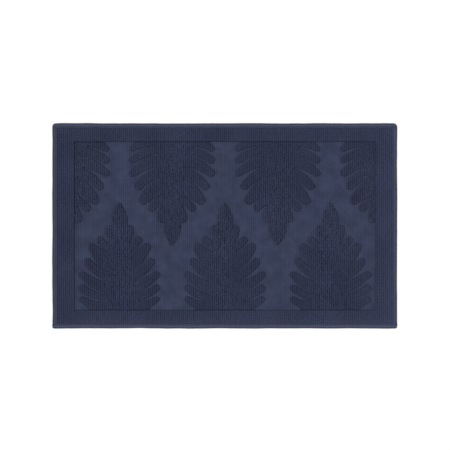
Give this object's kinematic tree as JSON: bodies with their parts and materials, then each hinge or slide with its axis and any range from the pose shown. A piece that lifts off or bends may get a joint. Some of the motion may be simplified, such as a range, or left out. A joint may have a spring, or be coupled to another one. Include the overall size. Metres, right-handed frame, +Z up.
{
  "type": "bath mat",
  "caption": "Rectangular navy cotton bath mat with a plain hem, a looped pile border and looped pile leaves standing on flat cloth.",
  "frame": {"origin": "middle of the mat's footprint, on the floor under it", "axes": "+X along the long side, +Y along the short side from the front edge to the back edge, +Z up out of the pile"},
  "size_m": [0.86, 0.512, 0.0063],
  "materials": {
    "ground_cloth": "matte",
    "loop_pile": "matte",
    "hem_cloth": "matte",
    "thread": "satin"
  },
  "bodies": {
    "root": {"ground_cloth": "ground_cloth", "hem_front": "hem_cloth", "hem_back": "hem_cloth", "hem_left": "hem_cloth", "hem_right": "hem_cloth", "hem_stitching_front": "thread", "hem_stitching_back": "thread", "hem_stitching_left": "thread", "hem_stitching_right": "thread", "border_pile_front": "loop_pile", "border_pile_back": "loop_pile", "border_pile_left": "loop_pile", "border_pile_right": "loop_pile", "leaf_pile_front_left": "loop_pile", "leaf_pile_front_centre": "loop_pile", "leaf_pile_front_right": "loop_pile", "leaf_pile_back_left": "loop_pile", "leaf_pile_back_right": "loop_pile", "leaf_pile_corner_left": "loop_pile", "leaf_pile_corner_right": "loop_pile"}
  },
  "joints": []
}
